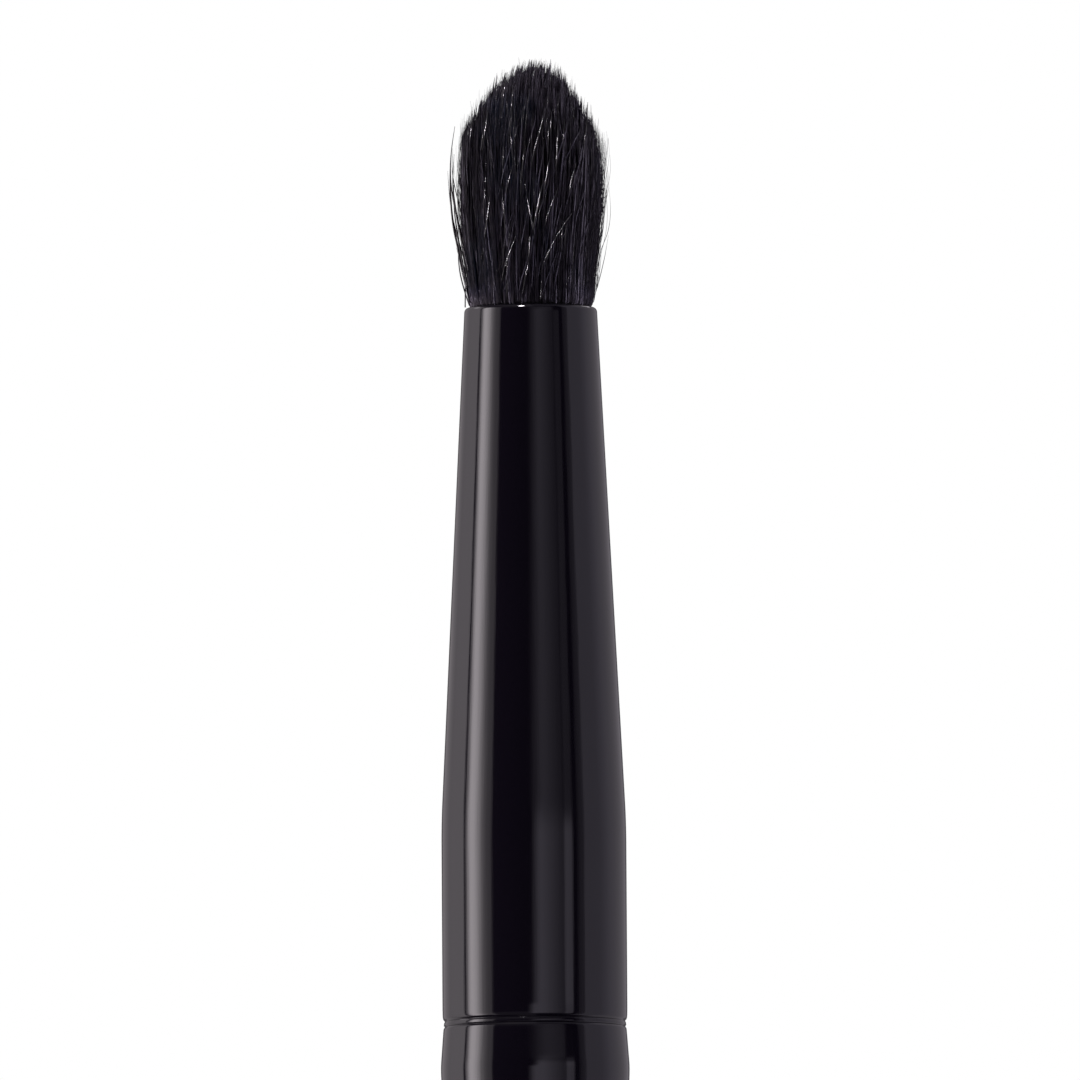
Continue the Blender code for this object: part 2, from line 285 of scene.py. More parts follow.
def glue_material(name, dark, light, roughness):
    material, g, shader = new_material(name)
    cloud = g.noise(g.stretched((700.0, 700.0, 700.0)), 1.0, 4.0, 0.6, 0.6)
    bubbles = g.node("ShaderNodeTexVoronoi", feature="F1")
    g.put(g.stretched((2600.0, 2600.0, 2600.0)), bubbles.inputs["Vector"])
    bubbles.inputs["Scale"].default_value = 1.0
    pits = g.rise(bubbles.outputs["Distance"], 0.08, 0.22)
    g.put(g.ramp(cloud, [(0.3, dark), (0.7, light)]), shader.inputs["Base Color"])
    g.put(g.line(cloud, 0.3, 0.7, roughness * 0.8, roughness * 1.3), shader.inputs["Roughness"])
    g.put(g.bump(pits, 0.4, 0.00005), shader.inputs["Normal"])
    return material


# ------------------------------------------------------------------------------------------------ turned shapes


def arc(centre_r, centre_z, size_r, size_z, start, end, steps):
    """Points along an ellipse's edge between two angles in degrees."""
    angles = np.radians(np.linspace(start, end, steps + 1))
    return [(centre_r + size_r * math.cos(a), centre_z + size_z * math.sin(a)) for a in angles]


def smooth_line(stations, heights):
    """Radius at each height, on a smooth line through (height, radius) stations that never overshoots."""
    z = np.array([s[0] for s in stations], float)
    r = np.array([s[1] for s in stations], float)
    slope = np.diff(r) / np.diff(z)
    tangent = np.empty(len(z))
    tangent[0], tangent[-1] = slope[0], slope[-1]
    for i in range(1, len(z) - 1):
        a, b = slope[i - 1], slope[i]
        tangent[i] = 0.0 if a * b <= 0 else 2 * a * b / (a + b)
    heights = np.asarray(heights, float)
    i = np.clip(np.searchsorted(z, heights, side="right") - 1, 0, len(z) - 2)
    span = z[i + 1] - z[i]
    t = np.clip((heights - z[i]) / span, 0, 1)
    return (
        r[i] * (2 * t**3 - 3 * t**2 + 1)
        + tangent[i] * span * (t**3 - 2 * t**2 + t)
        + r[i + 1] * (3 * t**2 - 2 * t**3)
        + tangent[i + 1] * span * (t**3 - t**2)
    )


def lathe(name, outline, ring, sides, materials, material_of=None):
    """A turned mesh with a square UV map. outline runs down the outside as (radius, height) in mm; a ring is closed.

    material_of gives each outline stretch's material index, by the stretch's own number.
    """
    outline = np.array(outline, float)
    count = len(outline)
    turn = np.linspace(0, math.tau, sides, endpoint=False)
    points, starts = [], []
    for r, z in outline:
        starts.append(len(points))
        if r < 1e-6:
            points.append((0.0, 0.0, z * MM))
        else:
            points += [(r * math.cos(a) * MM, r * math.sin(a) * MM, z * MM) for a in turn]
    steps = np.r_[0, np.cumsum(np.hypot(*np.diff(outline, axis=0).T))]
    length = steps[-1] + (np.hypot(*(outline[0] - outline[-1])) if ring else 0)
    faces, uvs, slots = [], [], []
    for i in range(count if ring else count - 1):
        j = (i + 1) % count
        v0, v1 = steps[i] / length, (steps[j] if j else length) / length
        axis_i, axis_j = outline[i][0] < 1e-6, outline[j][0] < 1e-6
        for k in range(sides):
            m = (k + 1) % sides
            u0, u1 = k / sides, (k + 1) / sides
            a, b = starts[i] + (0 if axis_i else k), starts[i] + (0 if axis_i else m)
            c, d = starts[j] + (0 if axis_j else m), starts[j] + (0 if axis_j else k)
            if axis_i:
                faces.append((a, d, c))
                uvs += [((u0 + u1) / 2, 1 - v0), (u0, 1 - v1), (u1, 1 - v1)]
            elif axis_j:
                faces.append((a, d, b))
                uvs += [(u0, 1 - v0), ((u0 + u1) / 2, 1 - v1), (u1, 1 - v0)]
            else:
                faces.append((a, d, c, b))
                uvs += [(u0, 1 - v0), (u0, 1 - v1), (u1, 1 - v1), (u1, 1 - v0)]
            slots.append(material_of(i) if material_of else 0)
    mesh = bpy.data.meshes.new(name)
    mesh.from_pydata(points, [], faces)
    layer = mesh.uv_layers.new(name="OFBake")
    layer.data.foreach_set("uv", np.array(uvs, np.float32).ravel())
    for material in materials:
        mesh.materials.append(material)
    mesh.polygons.foreach_set("material_index", np.array(slots, np.int32))
    mesh.shade_smooth()
    mesh.update()
    obj = bpy.data.objects.new(name, mesh)
    bpy.context.scene.collection.objects.link(obj)
    return obj


def ferrule_outline():
    """Lip, cone, straight stretch and hem down the outside, then up the bore. Returns it and where the bare bore starts."""
    lip_low = LIP_Z - 0.21
    mouth_r = 2.992 + LACQUER
    out_r, out_z = 0.19, 0.21
    # the lip: a quarter that starts level on top and ends along the cone
    outline = arc(mouth_r - out_r, lip_low, out_r, out_z, 90, 3, 18)
    foot = JOINT_Z + 9.25
    slope = (BASE_R - mouth_r) / (lip_low - foot)
    for z in np.linspace(lip_low - 0.15, foot + 1.5, 8):
        outline.append((mouth_r + slope * (lip_low - z), z))
    bend = 1.0
    for z in np.linspace(foot + bend, foot - bend, 9):
        reach = (z - foot + bend) / (2 * bend)
        outline.append((BASE_R - slope * bend * reach**2, z))
    outline += [(BASE_R, JOINT_Z + 1.85), (BASE_R, JOINT_Z + 0.90)]
    # the wall eases in towards the hem
    for t in np.linspace(0.08, 1.0, 14):
        outline.append((BASE_R - 0.010 * t - 0.038 * t**7, JOINT_Z + 0.280 + 0.50 * (1 - t)))
    # a fine vee groove, the hem's low bead, and half of the vee between it and the handle
    for inset, height in [
        (0.054, 0.274),
        (0.110, 0.210),
        (0.115, 0.204),
        (0.110, 0.198),
        (0.083, 0.164),
        (0.0765, 0.147),
        (0.0695, 0.122),
        (0.0640, 0.098),
        (0.0600, 0.073),
        (0.0580, 0.052),
        (0.0578, 0.036),
        (0.0590, 0.024),
        (0.0620, 0.016),
        (0.0680, 0.008),
        (0.0970, -0.029),
        (0.1020, -0.036),
    ]:
        outline.append((BASE_R - inset, JOINT_Z + height))
    outline += [(3.86, JOINT_Z - 0.036)]
    bore_start = len(outline)
    outline += [(3.82, JOINT_Z + 0.05), (3.82, foot), (2.755, LIP_Z - 0.16)]
    outline += arc(2.755 + 0.056, LIP_Z - 0.12, 0.056, 0.12, 180, 92, 6)
    return outline, bore_start


def handle_outline():
    """From the tenon's top down over the shoulder, belly and taper to the rounded butt. Returns it and where the lacquer starts."""
    top = TENON_TOP_Z
    outline = [(0.0, top), (2.9, top), (2.98, top - 0.02), (3.58, top - 0.58), (3.60, top - 0.64)]
    for height in (7.8, 5.6, 3.4):
        z = SHOULDER_Z + height
        outline += [(3.60, z + 0.36), (3.57, z + 0.30), (3.47, z + 0.16), (3.46, z), (3.47, z - 0.16), (3.57, z - 0.30), (3.60, z - 0.36)]
    # the lacquer runs a little way up the tenon
    outline += [(3.60, SHOULDER_Z + 0.62)]
    lacquer_start = len(outline) - 1
    outline += [(3.60, SHOULDER_Z + 0.03), (3.63, SHOULDER_Z), (3.95, SHOULDER_Z), (BASE_R - 0.102, SHOULDER_Z)]
    outline += [(BASE_R - 0.097, SHOULDER_Z - 0.006), (BASE_R - 0.054, SHOULDER_Z - 0.078), (BASE_R - 0.045, SHOULDER_Z - 0.094), (BASE_R - 0.0405, SHOULDER_Z - 0.112)]
    # an even slope out to just above the crest, a quick turn over it, and the long taper to the butt
    swell = [
        (1.05, 2.65),
        (12.0, 2.72),
        (35.0, 2.92),
        (60.0, 3.19),
        (80.0, 3.43),
        (95.0, 3.63),
        (108.0, 3.83),
        (116.0, 4.01),
        (120.0, 4.172),
        (CREST_Z - 0.80, CREST_R - 0.0305),
        (CREST_Z - 0.50, CREST_R - 0.0180),
        (CREST_Z - 0.20, CREST_R - 0.0062),
        (CREST_Z - 0.10, CREST_R - 0.0030),
        (CREST_Z, CREST_R - 0.0008),
        (CREST_Z + 0.10, CREST_R),
        (CREST_Z + 0.20, CREST_R - 0.0012),
        (CREST_Z + 0.30, CREST_R - 0.0042),
        (CREST_Z + 0.38, CREST_R - 0.0082),
        (CREST_Z + 0.46, CREST_R - 0.0132),
        (CREST_Z + 0.56, CREST_R - 0.0202),
        (CREST_Z + 0.70, CREST_R - 0.0306),
        (CREST_Z + 1.20, CREST_R - 0.0685),
        (SHOULDER_Z - 0.14, 4.1640),
    ]
    heights = np.r_[
        np.linspace(SHOULDER_Z - 0.2, CREST_Z + 0.7, 8),
        np.linspace(CREST_Z + 0.65, CREST_Z - 0.8, 42),
        np.linspace(CREST_Z - 0.9, 119.5, 14),
        np.linspace(119.0, 100.0, 20),
        np.linspace(98.5, 3.0, 64),
        np.linspace(2.5, 1.15, 4),
    ]
    outline += list(zip(smooth_line(swell, heights), heights))
    outline += arc(1.60, 1.05, 1.05, 1.05, 0, -90, 16)
    outline += [(0.0, 0.0)]
    return outline, lacquer_start


# ------------------------------------------------------------------------------------------------ hair
# Heights below are above the lip, in mm.

HAIR_COLUMNS = 32
STRANDS = 4300
LOCKS = 400
BELLY = 7.2
REACH = 11.05  # the dome's top
BELLY_HAIR_R = 3.33
DOME_IN, DOME_OUT = 1.25, 0.595  # how fast the dome closes just above the belly, and at its top

# the bundle's outer wall, as (height, radius): squeezed in the bore, over the lip, out to the belly, then easing in
SHELL = [
    (-2.0, 2.58),
    (-0.15, 2.64),
    (0.02, 2.725),
    (0.16, 2.765),
    (0.30, 2.785),
    (0.75, 2.80),
    (1.2, 2.815),
    (1.7, 2.84),
    (2.6, 2.94),
    (3.6, 3.045),
    (4.8, 3.125),
    (6.0, 3.175),
    (7.1, 3.19),
    (8.0, 3.16),
    (9.2, 3.04),
    (10.2, 2.87),
    (11.4, 2.64),
]


def shell(heights):
    return smooth_line(SHELL, heights)


def lean(heights):
    """The very tip of the tuft sits a touch to one side, and its lower half a hair's breadth to the other."""
    return 0.20 * np.clip(heights / 10.6, 0, 1.05) ** 9 - 0.045 * np.sin(math.pi * np.clip(heights / 5.5, 0, 1))


def dome_height(radius):
    """The height at which the domed end has this radius."""
    radius = np.clip(np.asarray(radius, float) / BELLY_HAIR_R, 0, 1)
    return BELLY + (REACH - BELLY) * (1 - radius ** (1 / DOME_OUT)) ** (1 / DOME_IN)


def wall(height):
    """The tuft's outer radius at a height: the shell's, or the dome's above the belly."""
    radius = float(shell([height])[0])
    if height <= BELLY:
        return radius
    t = min((height - BELLY) / (REACH - BELLY), 1.0)
    return min(radius, BELLY_HAIR_R * (1 - t**DOME_IN) ** DOME_OUT)


def tip_heights(share):
    """Where a hair that keeps this share of the shell's radius meets the dome."""
    height = np.full(len(share), 9.0)
    for _ in range(40):
        height = 0.5 * height + 0.5 * dome_height(share * shell(height))
    return height


def strand_mesh(name, paths, radii, columns, sides, material, spans):
    """One mesh of closed tapered strands. paths is (strands, points, 3) in mm above the lip, radii (strands, points) in mm."""
    strands, count, _ = paths.shape
    tangent = np.gradient(paths, axis=1)
    tangent /= np.linalg.norm(tangent, axis=2, keepdims=True)
    side = np.cross(tangent, np.array([0.0, 1.0, 0.0]))
    side /= np.linalg.norm(side, axis=2, keepdims=True)
    other = np.cross(tangent, side)
    angle = np.linspace(0, math.tau, sides, endpoint=False)
    ring = side[:, :, None, :] * np.cos(angle)[None, None, :, None] + other[:, :, None, :] * np.sin(angle)[None, None, :, None]
    points = paths[:, :, None, :] + ring * radii[:, :, None, None]
    tips = paths[:, -1] + tangent[:, -1] * radii[:, -1:] * 3.0
    roots = paths[:, 0]
    per = count * sides + 2
    verts = np.concatenate([points.reshape(strands, -1, 3), tips[:, None], roots[:, None]], axis=1).reshape(-1, 3)
    verts[:, 2] += LIP_Z
    verts = verts * MM
    i, k = np.meshgrid(np.arange(count - 1), np.arange(sides), indexing="ij")
    i, k = i.ravel(), k.ravel()
    m = (k + 1) % sides
    quads = np.stack([i * sides + k, i * sides + m, (i + 1) * sides + m, (i + 1) * sides + k], axis=1)
    k = np.arange(sides)
    m = (k + 1) % sides
    last = (count - 1) * sides
    tip_faces = np.stack([last + k, last + m, np.full(sides, per - 2)], axis=1)
    root_faces = np.stack([m, k, np.full(sides, per - 1)], axis=1)
    offsets = (np.arange(strands) * per)[:, None, None]
    all_quads = (quads[None] + offsets).reshape(-1, 4)
    all_tris = (np.concatenate([tip_faces, root_faces])[None] + offsets).reshape(-1, 3)
    # every strand fills its own column of the map, with V from root to tip
    v = spans
    low = (columns + 0.12) / HAIR_COLUMNS
    wide = 0.76 / HAIR_COLUMNS
    ku = quads[:, 0] % sides
    u0, u1 = ku / sides, (ku + 1) / sides
    row = quads[:, 0] // sides
    quad_u = low[:, None, None] + wide * np.stack([u0, u1, u1, u0], axis=1)[None]
    quad_v = np.stack([v[:, row], v[:, row], v[:, row + 1], v[:, row + 1]], axis=2)
    kk = np.arange(sides)
    tri_u = np.stack([kk / sides, (kk + 1) / sides, (kk + 0.5) / sides], axis=1)
    tip_uv_u = low[:, None, None] + wide * tri_u[None]
    top = v[:, -1][:, None, None] * np.ones((1, sides, 3))
    top[:, :, 2] = np.minimum(top[:, :, 2] + 0.008, 1.0)
    top[:, :, :2] -= 0.004
    bottom = v[:, 0][:, None, None] * np.ones((1, sides, 3))
    bottom[:, :, :2] += 0.004
    bottom[:, :, 2] = np.maximum(bottom[:, :, 2] - 0.004, 0.0)
    tri_us = np.concatenate([tip_uv_u, tip_uv_u], axis=1)
    tri_vs = np.concatenate([top, bottom], axis=1)
    quad_uv = np.stack([quad_u, quad_v], axis=3).reshape(-1, 2)
    tri_uv = np.stack([tri_us, tri_vs], axis=3).reshape(-1, 2)
    mesh = bpy.data.meshes.new(name)
    mesh.vertices.add(len(verts))
    mesh.vertices.foreach_set("co", verts.astype(np.float32).ravel())
    loops = np.concatenate([all_quads.ravel(), all_tris.ravel()]).astype(np.int32)
    mesh.loops.add(len(loops))
    mesh.loops.foreach_set("vertex_index", loops)
    starts = np.concatenate([np.arange(len(all_quads)) * 4, len(all_quads) * 4 + np.arange(len(all_tris)) * 3]).astype(np.int32)
    mesh.polygons.add(len(starts))
    mesh.polygons.foreach_set("loop_start", starts)
    mesh.update(calc_edges=True)
    mesh.validate()
    layer = mesh.uv_layers.new(name="OFBake")
    layer.data.foreach_set("uv", np.concatenate([quad_uv, tri_uv]).astype(np.float32).ravel())
    mesh.shade_smooth()
    mesh.materials.append(material)
    obj = bpy.data.objects.new(name, mesh)
    bpy.context.scene.collection.objects.link(obj)
    return obj


def ramp(values, start, end):
    t = np.clip((values - start) / (end - start), 0, 1)
    return t * t * (3 - 2 * t)


def waves(random, high, size):
    """A slow sideways wander for each strand: three waves of random phase, nothing at the root."""
    total = np.zeros((*high.shape, 2))
    for cycles, share in ((0.6, 1.0), (1.5, 0.5), (3.6, 0.22)):
        phase = random.uniform(0, math.tau, (len(high), 1, 2))
        rate = cycles * random.uniform(0.7, 1.3, (len(high), 1, 2))
        total += share * (np.sin(rate * math.tau * high[..., None] + phase) - np.sin(phase))
    return total * size[:, None, None] * np.minimum(high * 2.0, 1.0)[..., None]


def heights_along(depth, lengths, count):
    """Heights at each point of each strand, a little closer together towards the tip, and the share of the way along."""
    s = np.linspace(0, 1, count)[None, :].repeat(len(lengths), 0)
    s = 1 - (1 - s) ** 1.2
    return depth[:, None] + (lengths - depth)[:, None] * s, s


def taper(random, s, thickness, end=0.12):
    """Strand radius: full for most of its length, then drawn out to a fine point."""
    start = random.uniform(0.55, 0.75, (len(s), 1))
    fall = np.clip((s - start) / (1 - start), 0, 1)
    return thickness[:, None] * (1 - (1 - end) * fall**1.25)


def spans(z, s):
    """V in the map: the height's share of the tuft, kept rising all along each strand."""
    first = np.clip((z[:, :1] + 1.0) / (REACH + 1.6), 0.004, 0.9)
    last = np.clip((z[:, -1:] + 1.0) / (REACH + 1.6), 0.02, 0.99)
    return first + (last - first) * s


def shades(random, count, mean):
    return np.clip((random.beta(1.5, 1.5 / mean - 1.5, count) * HAIR_COLUMNS).astype(int), 0, HAIR_COLUMNS - 1)


def main_bundle(random, material, glossy, dull):
    """All the hairs that make the tuft's body, in several meshes. The outer ones differ in gloss."""
    n = STRANDS
    index = np.arange(n) + 0.5
    golden = math.pi * (3 - math.sqrt(5))
    share = np.clip(np.sqrt(index / n) + random.normal(0, 0.007, n), 0, 1.0)
    turn = index * golden + random.normal(0, 0.01, n)
    place = np.c_[share * np.cos(turn), share * np.sin(turn)]
    c = np.arange(LOCKS) + 0.5
    centres = np.c_[np.sqrt(c / LOCKS) * np.cos(c * golden + 1.0), np.sqrt(c / LOCKS) * np.sin(c * golden + 1.0)]
    centres += random.normal(0, 0.012, (LOCKS, 2))
    nearest = np.empty(n, int)
    for start in range(0, n, 500):
        block = place[start : start + 500]
        nearest[start : start + 500] = ((block[:, None] - centres[None]) ** 2).sum(2).argmin(1)
    centre = centres[nearest]
    off = np.hypot(*(place - centre).T) / 0.05
    # each lock of hairs has its own place, depth, length and lean
    lock_in = (0.075 * random.random(LOCKS) ** 1.4)[nearest]
    lock_tip = random.normal(0, 0.11, (LOCKS, 2))[nearest]
    lock_bow = random.normal(0, 0.035, (LOCKS, 2))[nearest]
    pull = random.uniform(0.45, 0.85, LOCKS)[nearest]
    lengths = tip_heights(share) + 0.20 + random.normal(0, 0.13, LOCKS)[nearest]
    lengths += random.normal(0, 0.07, n) - 0.22 * np.clip(off, 0, 1.6) ** 1.5
    short = random.random(n)
    lengths -= np.where(short < 0.30, random.exponential(0.55, n), 0.0)
    lengths -= np.where((share > 0.93) & (random.random(n) < 0.5), random.uniform(0, 2.6, n), 0.0)
    lengths = np.clip(lengths, 2.5, REACH + 0.25)
    made = []
    inner_kinds = np.random.default_rng(31)
    outer = share > 0.78
    middle = ~outer & (share > 0.52)
    for part, (chosen, count, depth) in enumerate(
        [(np.flatnonzero(outer), 22, -0.6), (np.flatnonzero(middle), 13, 4.2), (np.flatnonzero(~outer & ~middle), 11, 6.0)]
    ):
        pieces = max(1, math.ceil(len(chosen) * count * 5 * 2 / 190000))
        for number, some in enumerate(np.array_split(chosen, pieces)):
            k = len(some)
            z, s = heights_along(np.full(k, depth), lengths[some], count)
            high = np.clip(z / 11.0, 0, 1)
            drift = random.normal(0.012, 0.035, k)
            loose = random.random(k) < 0.14
            drift = np.where(loose, random.normal(0.05, 0.13, k), drift)
            t = turn[some][:, None] + drift[:, None] * high
            at = np.stack([share[some][:, None] * np.cos(t), share[some][:, None] * np.sin(t)], axis=2)
            middle_of = centre[some][:, None, :]
            gather = 0.74 + 0.30 * ramp(z, 0.1, 2.2)
            near_tip = np.clip((z - (lengths[some][:, None] - 3.2)) / 3.2, 0, 1) ** 1.5
            gather = gather * (1 - (pull[some] * np.where(loose, 0.4, 1.0))[:, None] * near_tip)
            at = middle_of + (at - middle_of) * gather[..., None]
            inward = 1 - lock_in[some][:, None] * ramp(z, 0.0, 2.4)
            at = at * (shell(z) * inward)[..., None]
            at += lock_tip[some][:, None, :] * (np.clip((z - (lengths[some][:, None] - 4.5)) / 4.5, 0, 1) ** 1.6)[..., None]
            bow = lock_bow[some] + random.normal(0, 0.018, (k, 2))
            at += bow[:, None, :] * np.sin(math.pi * np.clip(z / lengths[some][:, None], 0, 1))[..., None]
            at += waves(random, high, random.uniform(0.006, 0.028, k))
            at[..., 0] += lean(z)
            paths = np.concatenate([at, z[..., None]], axis=2)
            thickness = random.uniform(0.028, 0.048, k) + np.where(random.random(k) < 0.12, 0.012, 0.0)
            radii = taper(random, s, thickness) * (1 + 0.45 * (1 - ramp(z, 0.5, 2.8)))
            colours = shades(random, k, 0.34)
            name = f"hair_body_{part + 1}{chr(97 + number)}"
            if part:
                kind, low, high_kind = inner_kinds.random(k), 0.30, 0.60
            else:
                kind, low, high_kind = random.random(k), 0.46, 0.69
            for label, some_of, finish in (("dull", kind < low, dull), ("soft", (kind >= low) & (kind < high_kind), material), ("gloss", kind >= high_kind, glossy)):
                made.append(strand_mesh(f"{name}_{label}", paths[some_of], radii[some_of], colours[some_of], 5, finish, spans(z, s)[some_of]))
    return made


def loose_hairs(random, name, count, points, material, thickness, cover, swing, bulge, reach, end=0.12, mean=0.4, bias=0.0, around=(0.0, math.tau)):
    """Hairs at the bundle's surface that lean across the others, come out of the wall for a stretch and go back in."""
    share = random.uniform(*cover, count)
    turn = random.uniform(*around, count)
    lengths = np.minimum(random.uniform(*reach, count), tip_heights(np.minimum(share, 1.0)) + random.uniform(-0.3, 0.35, count))
    z, s = heights_along(np.full(count, -0.3), lengths, points)
    high = np.clip(z / 11.0, 0, 1)
    centre = random.uniform(0.8, 8.5, count)
    out = random.uniform(*bulge, count)[:, None] * np.exp(-(((z - centre[:, None]) / random.uniform(0.9, 2.2, (count, 1))) ** 2))
    t = turn[:, None] + random.normal(bias, swing, count)[:, None] * high
    t += random.normal(0, swing * 0.35, count)[:, None] * np.sin(math.pi * np.clip(z / lengths[:, None], 0, 1))
    radius = share[:, None] * shell(z) + out * ramp(z, 0.1, 1.2)
    radius = np.minimum(radius, 2.69 + 0.8 * np.clip(z, 0, None) - 0.5 * np.clip(-z, 0, None))  # clear of the mouth's inner edge
    at = np.stack([radius * np.cos(t), radius * np.sin(t)], axis=2) + waves(random, high, random.uniform(0.008, 0.03, count))
    at[..., 0] += lean(z)
    paths = np.concatenate([at, z[..., None]], axis=2)
    radii = taper(random, s, random.uniform(*thickness, count), end)
    return strand_mesh(name, paths, radii, shades(random, count, mean), 5, material, spans(z, s))


def dome_fuzz(random, name, count, material):
    """Single fine tips that stand a little above the dome."""
    share = random.random(count) ** 0.42 * 0.995
    turn = random.uniform(0, math.tau, count)
    lengths = np.minimum(tip_heights(share) + random.uniform(0.05, 0.50, count), REACH + 0.34)
    z, s = heights_along(lengths - random.uniform(1.6, 3.0, count), lengths, 7)
    tilt = random.normal(0, 0.05, (count, 2))
    radius = share[:, None] * shell(z)
    at = np.stack([radius * np.cos(turn[:, None]), radius * np.sin(turn[:, None])], axis=2)
    at += tilt[:, None, :] * ((z - z[:, :1]) ** 1.3)[..., None]
    at[..., 0] += lean(z)
    paths = np.concatenate([at, z[..., None]], axis=2)
    radii = taper(random, s, random.uniform(0.007, 0.014, count), 0.25)
    return strand_mesh(name, paths, radii, shades(random, count, 0.5), 4, material, spans(z, s))


def through(points, count):
    """A smooth curve through a few points, sampled evenly."""
    points = np.array(points, float)
    knots = np.r_[0, np.cumsum(np.linalg.norm(np.diff(points, axis=0), axis=1) ** 0.5)]
    tangent = np.gradient(points, knots, axis=0)
    at = np.linspace(0, knots[-1], count)
    i = np.clip(np.searchsorted(knots, at, side="right") - 1, 0, len(knots) - 2)
    span = (knots[i + 1] - knots[i])[:, None]
    t = ((at - knots[i]) / span[:, 0])[:, None]
    return (
        points[i] * (2 * t**3 - 3 * t**2 + 1)
        + tangent[i] * span * (t**3 - 2 * t**2 + t)
        + points[i + 1] * (3 * t**2 - 2 * t**3)
        + tangent[i + 1] * span * (t**3 - t**2)
    )


# Stray hairs that stand clear of the tuft's front and catch the light for a short way, each as the lit
# stretch's lower and upper ends (across, height), then the hair's radius.
STRAYS = [
    ((-1.14, 9.86), (-1.12, 10.0), 0.026),
    ((-0.78, 9.40), (-0.77, 9.60), 0.026),
    ((-2.01, 8.00), (-1.94, 8.42), 0.030),
    ((-2.66, 7.95), (-2.64, 8.10), 0.030),
    ((-2.14, 7.60), (-2.12, 7.75), 0.026),
    ((0.23, 7.02), (0.40, 7.60), 0.028),
    ((0.44, 7.75), (0.62, 8.43), 0.020),
    ((-0.82, 7.20), (-0.86, 7.60), 0.024),
    ((0.97, 8.15), (0.98, 8.32), 0.024),
    ((0.85, 7.68), (0.86, 7.84), 0.024),
    ((1.21, 6.40), (1.27, 7.68), 0.034),
    ((1.53, 7.55), (1.54, 7.72), 0.022),
    ((2.51, 7.60), (2.53, 7.75), 0.024),
    ((-0.30, 6.48), (-0.28, 6.66), 0.030),
    ((-1.21, 6.54), (-1.20, 6.74), 0.026),
    ((-1.00, 5.43), (-0.90, 5.80), 0.030),
    ((0.70, 5.43), (0.85, 6.32), 0.026),
    ((1.86, 5.48), (2.01, 6.09), 0.028),
    ((-2.04, 3.20), (-1.85, 4.63), 0.030),
    ((-1.17, 4.02), (-1.22, 4.58), 0.026),
    ((-2.08, 4.74), (-2.06, 5.02), 0.024),
    ((0.22, 3.77), (0.48, 5.04), 0.034),
    ((0.13, 3.36), (-0.08, 4.53), 0.026),
    ((0.41, 4.05), (0.43, 4.20), 0.026),
    ((0.80, 4.02), (1.09, 4.78), 0.022),
    ((0.74, 2.16), (1.15, 2.96), 0.022),
    ((1.15, 2.96), (1.66, 3.77), 0.022),
    ((1.43, 3.00), (1.44, 3.14), 0.028),
    ((1.58, 3.09), (1.59, 3.23), 0.028),
    ((-1.11, 1.85), (-0.82, 2.63), 0.034),
    ((-0.06, 2.25), (-0.04, 2.61), 0.030),
    ((-0.22, 1.25), (-0.12, 1.70), 0.026),
    ((-1.06, 1.08), (-1.06, 1.35), 0.026),
    ((2.92, 4.68), (3.05, 5.05), 0.026),
    ((2.80, 3.26), (2.87, 3.52), 0.026),
    ((2.99, 2.05), (3.03, 2.40), 0.024),
    ((2.76, 1.66), (2.77, 1.80), 0.026),
    ((-2.93, 1.80), (-2.92, 1.92), 0.026),
    ((0.46, 0.25), (0.48, 0.57), 0.026),
]


def scattered(random, count, across, heights, tilt, tall, size):
    """More stretches like the ones above, strewn over the tuft's front. across is in shares of the tuft's half-width."""
    table = []
    for _ in range(count):
        z0, length, aside = random.uniform(*heights), random.uniform(*tall), random.normal(*tilt)
        x0 = random.uniform(*across) * (wall(z0) - 0.15)
        aside = min(aside, (wall(z0 + length + 0.6) * 0.9 - x0) / (length + 0.6))  # its upper end stays within the outline
        table.append(((x0, z0), (x0 + aside * length, z0 + length), random.uniform(*size)))
    return table


